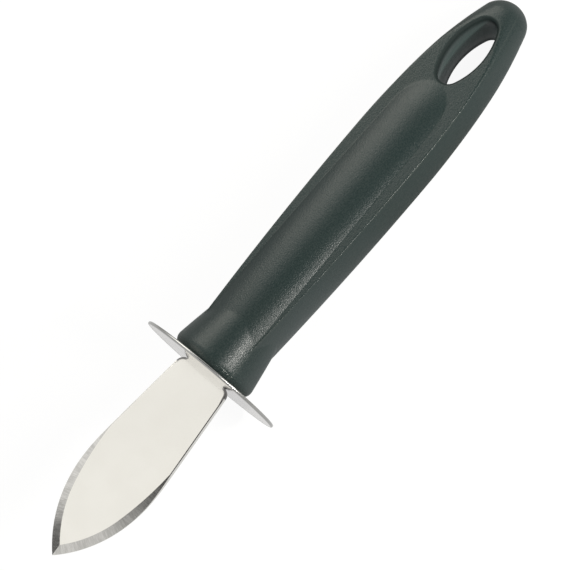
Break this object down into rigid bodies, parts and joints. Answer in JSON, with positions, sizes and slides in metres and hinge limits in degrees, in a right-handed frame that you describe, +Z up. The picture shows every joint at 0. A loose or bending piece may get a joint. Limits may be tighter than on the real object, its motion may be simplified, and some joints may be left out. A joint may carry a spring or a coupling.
{
  "type": "oyster knife",
  "caption": "Oyster knife with a broad pointed steel blade, a thin round steel guard and a moulded grip with a hanging hole.",
  "frame": {"origin": "middle of the knife's box, on the table that it lies on", "axes": "+X along the knife from the point towards the butt, +Z up, +Y across the handle to its left seen from the butt; the knife's own axis falls 6.5 degrees towards the butt, because the guard's rim and the butt's back edge touch the table"},
  "size_m": [0.1782, 0.04, 0.0397],
  "materials": {
    "blade_steel": "polished flats, bevels ground across",
    "guard_steel": "bright polished",
    "grip_plastic": "satin, fine moulded grain"
  },
  "bodies": {
    "root": {"blade": "blade_steel", "guard": "guard_steel", "handle": "grip_plastic"}
  },
  "joints": []
}
